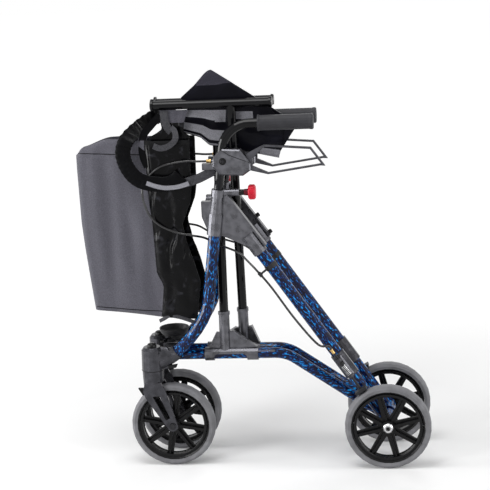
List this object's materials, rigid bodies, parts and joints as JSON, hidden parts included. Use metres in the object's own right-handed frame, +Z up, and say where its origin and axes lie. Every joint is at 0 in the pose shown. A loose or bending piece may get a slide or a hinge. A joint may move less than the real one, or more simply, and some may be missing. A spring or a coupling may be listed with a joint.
{
  "type": "folding walker",
  "caption": "Folding walker on wheels, folded side to side, with telescopic handles, loop brakes, cross brace, seat cloth, backrest strap and a front bag.",
  "frame": {"origin": "on the floor, under the middle of the folded walker's bounding box", "axes": "+X to the user at the back, -X to the front, +Y to the right-hand side, +Z up"},
  "size_m": [0.8166, 0.2252, 0.9322],
  "materials": {
    "blue_paint": "clear-coated dark blue with bright blue flecks",
    "grey_casting": "satin dark grey",
    "black_tube": "gloss black",
    "black_plastic": "satin black",
    "grey_rubber": "matt grey",
    "grip_rubber": "matt black",
    "steel": "bright zinc plated",
    "red_plastic": "satin red",
    "grey_cloth": "matt woven",
    "black_cloth": "coated, semi-gloss"
  },
  "bodies": {
    "left_frame": {"front_tube_left": "blue_paint", "base_tube_left": "blue_paint", "diagonal_tube_left": "blue_paint", "top_bracket_left": "grey_casting", "caster_head_left": "grey_casting", "rear_axle_left": "steel", "brake_bracket_left": "grey_casting", "brake_cable_lower_left": "black_plastic", "bag_side_left": "black_cloth"},
    "left_caster": {"caster_fork_left": "grey_casting", "front_axle_left": "steel"},
    "left_front_wheel": {"front_tyre_left": "grey_rubber", "front_rim_left": "black_plastic"},
    "left_rear_wheel": {"rear_tyre_left": "grey_rubber", "rear_rim_left": "black_plastic"},
    "left_handle": {"handle_tube_left": "black_tube", "grip_left": "grip_rubber", "brake_housing_left": "grey_casting", "brake_cable_upper_left": "black_plastic", "backrest_strap_left": "black_cloth"},
    "left_lever": {"brake_lever_left": "grey_casting"},
    "left_knob": {"height_knob_left": "red_plastic"},
    "left_brake": {"brake_plunger_left": "black_plastic"},
    "left_bag": {"bag_front_left": "grey_cloth"},
    "left_backrest": {"backrest_fold_left": "black_cloth"},
    "right_frame": {"front_tube_right": "blue_paint", "base_tube_right": "blue_paint", "diagonal_tube_right": "blue_paint", "top_bracket_right": "grey_casting", "caster_head_right": "grey_casting", "rear_axle_right": "steel", "brake_bracket_right": "grey_casting", "brake_cable_lower_right": "black_plastic", "bag_side_right": "black_cloth"},
    "right_caster": {"caster_fork_right": "grey_casting", "front_axle_right": "steel"},
    "right_front_wheel": {"front_tyre_right": "grey_rubber", "front_rim_right": "black_plastic"},
    "right_rear_wheel": {"rear_tyre_right": "grey_rubber", "rear_rim_right": "black_plastic"},
    "right_handle": {"handle_tube_right": "black_tube", "grip_right": "grip_rubber", "brake_housing_right": "grey_casting", "brake_cable_upper_right": "black_plastic", "backrest_strap_right": "black_cloth"},
    "right_lever": {"brake_lever_right": "grey_casting"},
    "right_knob": {"height_knob_right": "red_plastic"},
    "right_brake": {"brake_plunger_right": "black_plastic"},
    "right_bag": {"bag_front_right": "grey_cloth"},
    "right_backrest": {"backrest_fold_right": "black_cloth"},
    "left_brace": {"brace_foot_left": "grey_casting", "brace_tube_left": "black_tube", "seat_rail_right": "black_tube", "seat_wing_right": "black_cloth"},
    "right_brace": {"brace_foot_right": "grey_casting", "brace_tube_right": "black_tube", "seat_rail_left": "black_tube", "seat_wing_left": "black_cloth"},
    "centre_pivot": {"pivot_bolt": "steel", "seat_ridge": "black_cloth"}
  },
  "joints": [
    {"name": "fold", "type": "hinge", "parent": "left_frame", "child": "left_brace", "pos_m": [-0.0573, -0.024, 0.262], "axis": [-1, 0, 0], "range_deg": [0, 46.4]},
    {"name": "cross", "type": "hinge", "parent": "left_brace", "child": "right_brace", "pos_m": [-0.0523, 0, 0.55935], "axis": [1, 0, 0], "range_deg": [0, 93.2]},
    {"name": "pivot_turn", "type": "hinge", "parent": "left_brace", "child": "centre_pivot", "pos_m": [-0.0523, 0, 0.55935], "axis": [1, 0, 0], "range_deg": [0, 46.8]},
    {"name": "right_foot", "type": "hinge", "parent": "right_brace", "child": "right_frame", "pos_m": [-0.0573, 0.024, 0.262], "axis": [-1, 0, 0], "range_deg": [0, 46.8]},
    {"name": "left_bag_fold", "type": "hinge", "parent": "left_frame", "child": "left_bag", "pos_m": [-0.11095, -0.024, 0.55], "axis": [0, 0, -1], "range_deg": [0, 46.8]},
    {"name": "left_backrest_fold", "type": "hinge", "parent": "left_handle", "child": "left_backrest", "pos_m": [0.01304, -0.024, 0.75], "axis": [0, 0, -1], "range_deg": [0, 46.8]},
    {"name": "left_swivel", "type": "hinge", "parent": "left_frame", "child": "left_caster", "pos_m": [-0.2435, -0.056, 0.2], "axis": [0, 0, 1], "range_deg": [-180, 20]},
    {"name": "left_front_roll", "type": "hinge", "parent": "left_caster", "child": "left_front_wheel", "pos_m": [-0.2008, -0.056, 0.1], "axis": [0, 1, 0], "continuous": true},
    {"name": "left_rear_roll", "type": "hinge", "parent": "left_frame", "child": "left_rear_wheel", "pos_m": [0.3083, -0.092, 0.1], "axis": [0, 1, 0], "continuous": true},
    {"name": "left_handle_height", "type": "slide", "parent": "left_frame", "child": "left_handle", "axis": [0.1374, 0, 0.9905], "range_m": [0, 0.13]},
    {"name": "left_lever_pull", "type": "hinge", "parent": "left_handle", "child": "left_lever", "pos_m": [-0.0032, -0.056, 0.7251], "axis": [0, -1, 0], "range_deg": [0, 14], "stiffness_Nm_per_rad": 2},
    {"name": "left_brake_push", "type": "slide", "parent": "left_frame", "child": "left_brake", "axis": [0.565, 0, -0.8251], "range_m": [0, 0.0024]},
    {"name": "left_knob_turn", "type": "hinge", "parent": "left_frame", "child": "left_knob", "pos_m": [-0.01742, -0.056, 0.6547], "axis": [1, 0, 0], "range_deg": [0, 360]},
    {"name": "right_bag_fold", "type": "hinge", "parent": "right_frame", "child": "right_bag", "pos_m": [-0.11095, 0.024, 0.55], "axis": [0, 0, 1], "range_deg": [0, 46.8]},
    {"name": "right_backrest_fold", "type": "hinge", "parent": "right_handle", "child": "right_backrest", "pos_m": [0.01304, 0.024, 0.75], "axis": [0, 0, 1], "range_deg": [0, 46.8]},
    {"name": "right_swivel", "type": "hinge", "parent": "right_frame", "child": "right_caster", "pos_m": [-0.2435, 0.056, 0.2], "axis": [0, 0, 1], "range_deg": [-20, 180]},
    {"name": "right_front_roll", "type": "hinge", "parent": "right_caster", "child": "right_front_wheel", "pos_m": [-0.2008, 0.056, 0.1], "axis": [0, 1, 0], "continuous": true},
    {"name": "right_rear_roll", "type": "hinge", "parent": "right_frame", "child": "right_rear_wheel", "pos_m": [0.3083, 0.092, 0.1], "axis": [0, 1, 0], "continuous": true},
    {"name": "right_handle_height", "type": "slide", "parent": "right_frame", "child": "right_handle", "axis": [0.1374, 0, 0.9905], "range_m": [0, 0.13]},
    {"name": "right_lever_pull", "type": "hinge", "parent": "right_handle", "child": "right_lever", "pos_m": [-0.0032, 0.056, 0.7251], "axis": [0, -1, 0], "range_deg": [0, 14], "stiffness_Nm_per_rad": 2},
    {"name": "right_brake_push", "type": "slide", "parent": "right_frame", "child": "right_brake", "axis": [0.565, 0, -0.8251], "range_m": [0, 0.0024]},
    {"name": "right_knob_turn", "type": "hinge", "parent": "right_frame", "child": "right_knob", "pos_m": [-0.06652, 0.074, 0.6547], "axis": [0, 1, 0], "range_deg": [0, 360]}
  ],
  "couplings": [
    {"joint": "cross", "follows": "fold", "ratio": 2},
    {"joint": "pivot_turn", "follows": "fold", "ratio": 1},
    {"joint": "right_foot", "follows": "fold", "ratio": 1},
    {"joint": "left_bag_fold", "follows": "fold", "ratio": 1},
    {"joint": "left_backrest_fold", "follows": "fold", "ratio": 1},
    {"joint": "left_brake_push", "follows": "left_lever_pull", "m_per_rad": 0.009},
    {"joint": "right_bag_fold", "follows": "fold", "ratio": 1},
    {"joint": "right_backrest_fold", "follows": "fold", "ratio": 1},
    {"joint": "right_brake_push", "follows": "right_lever_pull", "m_per_rad": 0.009}
  ]
}
